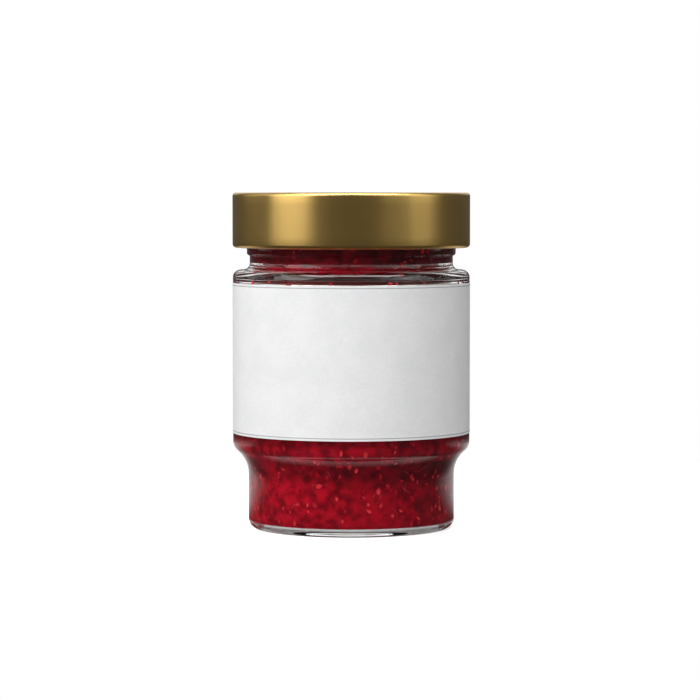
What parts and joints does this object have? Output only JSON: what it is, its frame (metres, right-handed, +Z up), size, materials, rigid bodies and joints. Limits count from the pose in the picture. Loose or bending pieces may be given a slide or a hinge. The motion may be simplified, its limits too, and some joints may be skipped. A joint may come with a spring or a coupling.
{
  "type": "jam jar",
  "caption": "Filled glass jam jar on a narrower stacking foot, with a deep twist-off cap, a blank wrap-round paper label and dark red berry jam.",
  "frame": {"origin": "middle of the base, on the plane of the bearing ring", "axes": "+Z up along the jar's axis, -Y towards the front of the label"},
  "size_m": [0.074, 0.074, 0.1046],
  "materials": {
    "glass": "clear moulded flint glass",
    "cap_metal": "satin gold lacquer on tinplate",
    "seal": "poured sealing compound",
    "label_paper": "uncoated white paper with a thin grey rule near each edge",
    "jam": "dark red gel with fruit pieces and seeds"
  },
  "bodies": {
    "root": {"glass_jar": "glass", "cap": "cap_metal", "cap_seal": "seal", "label": "label_paper", "jam": "jam"}
  },
  "joints": []
}
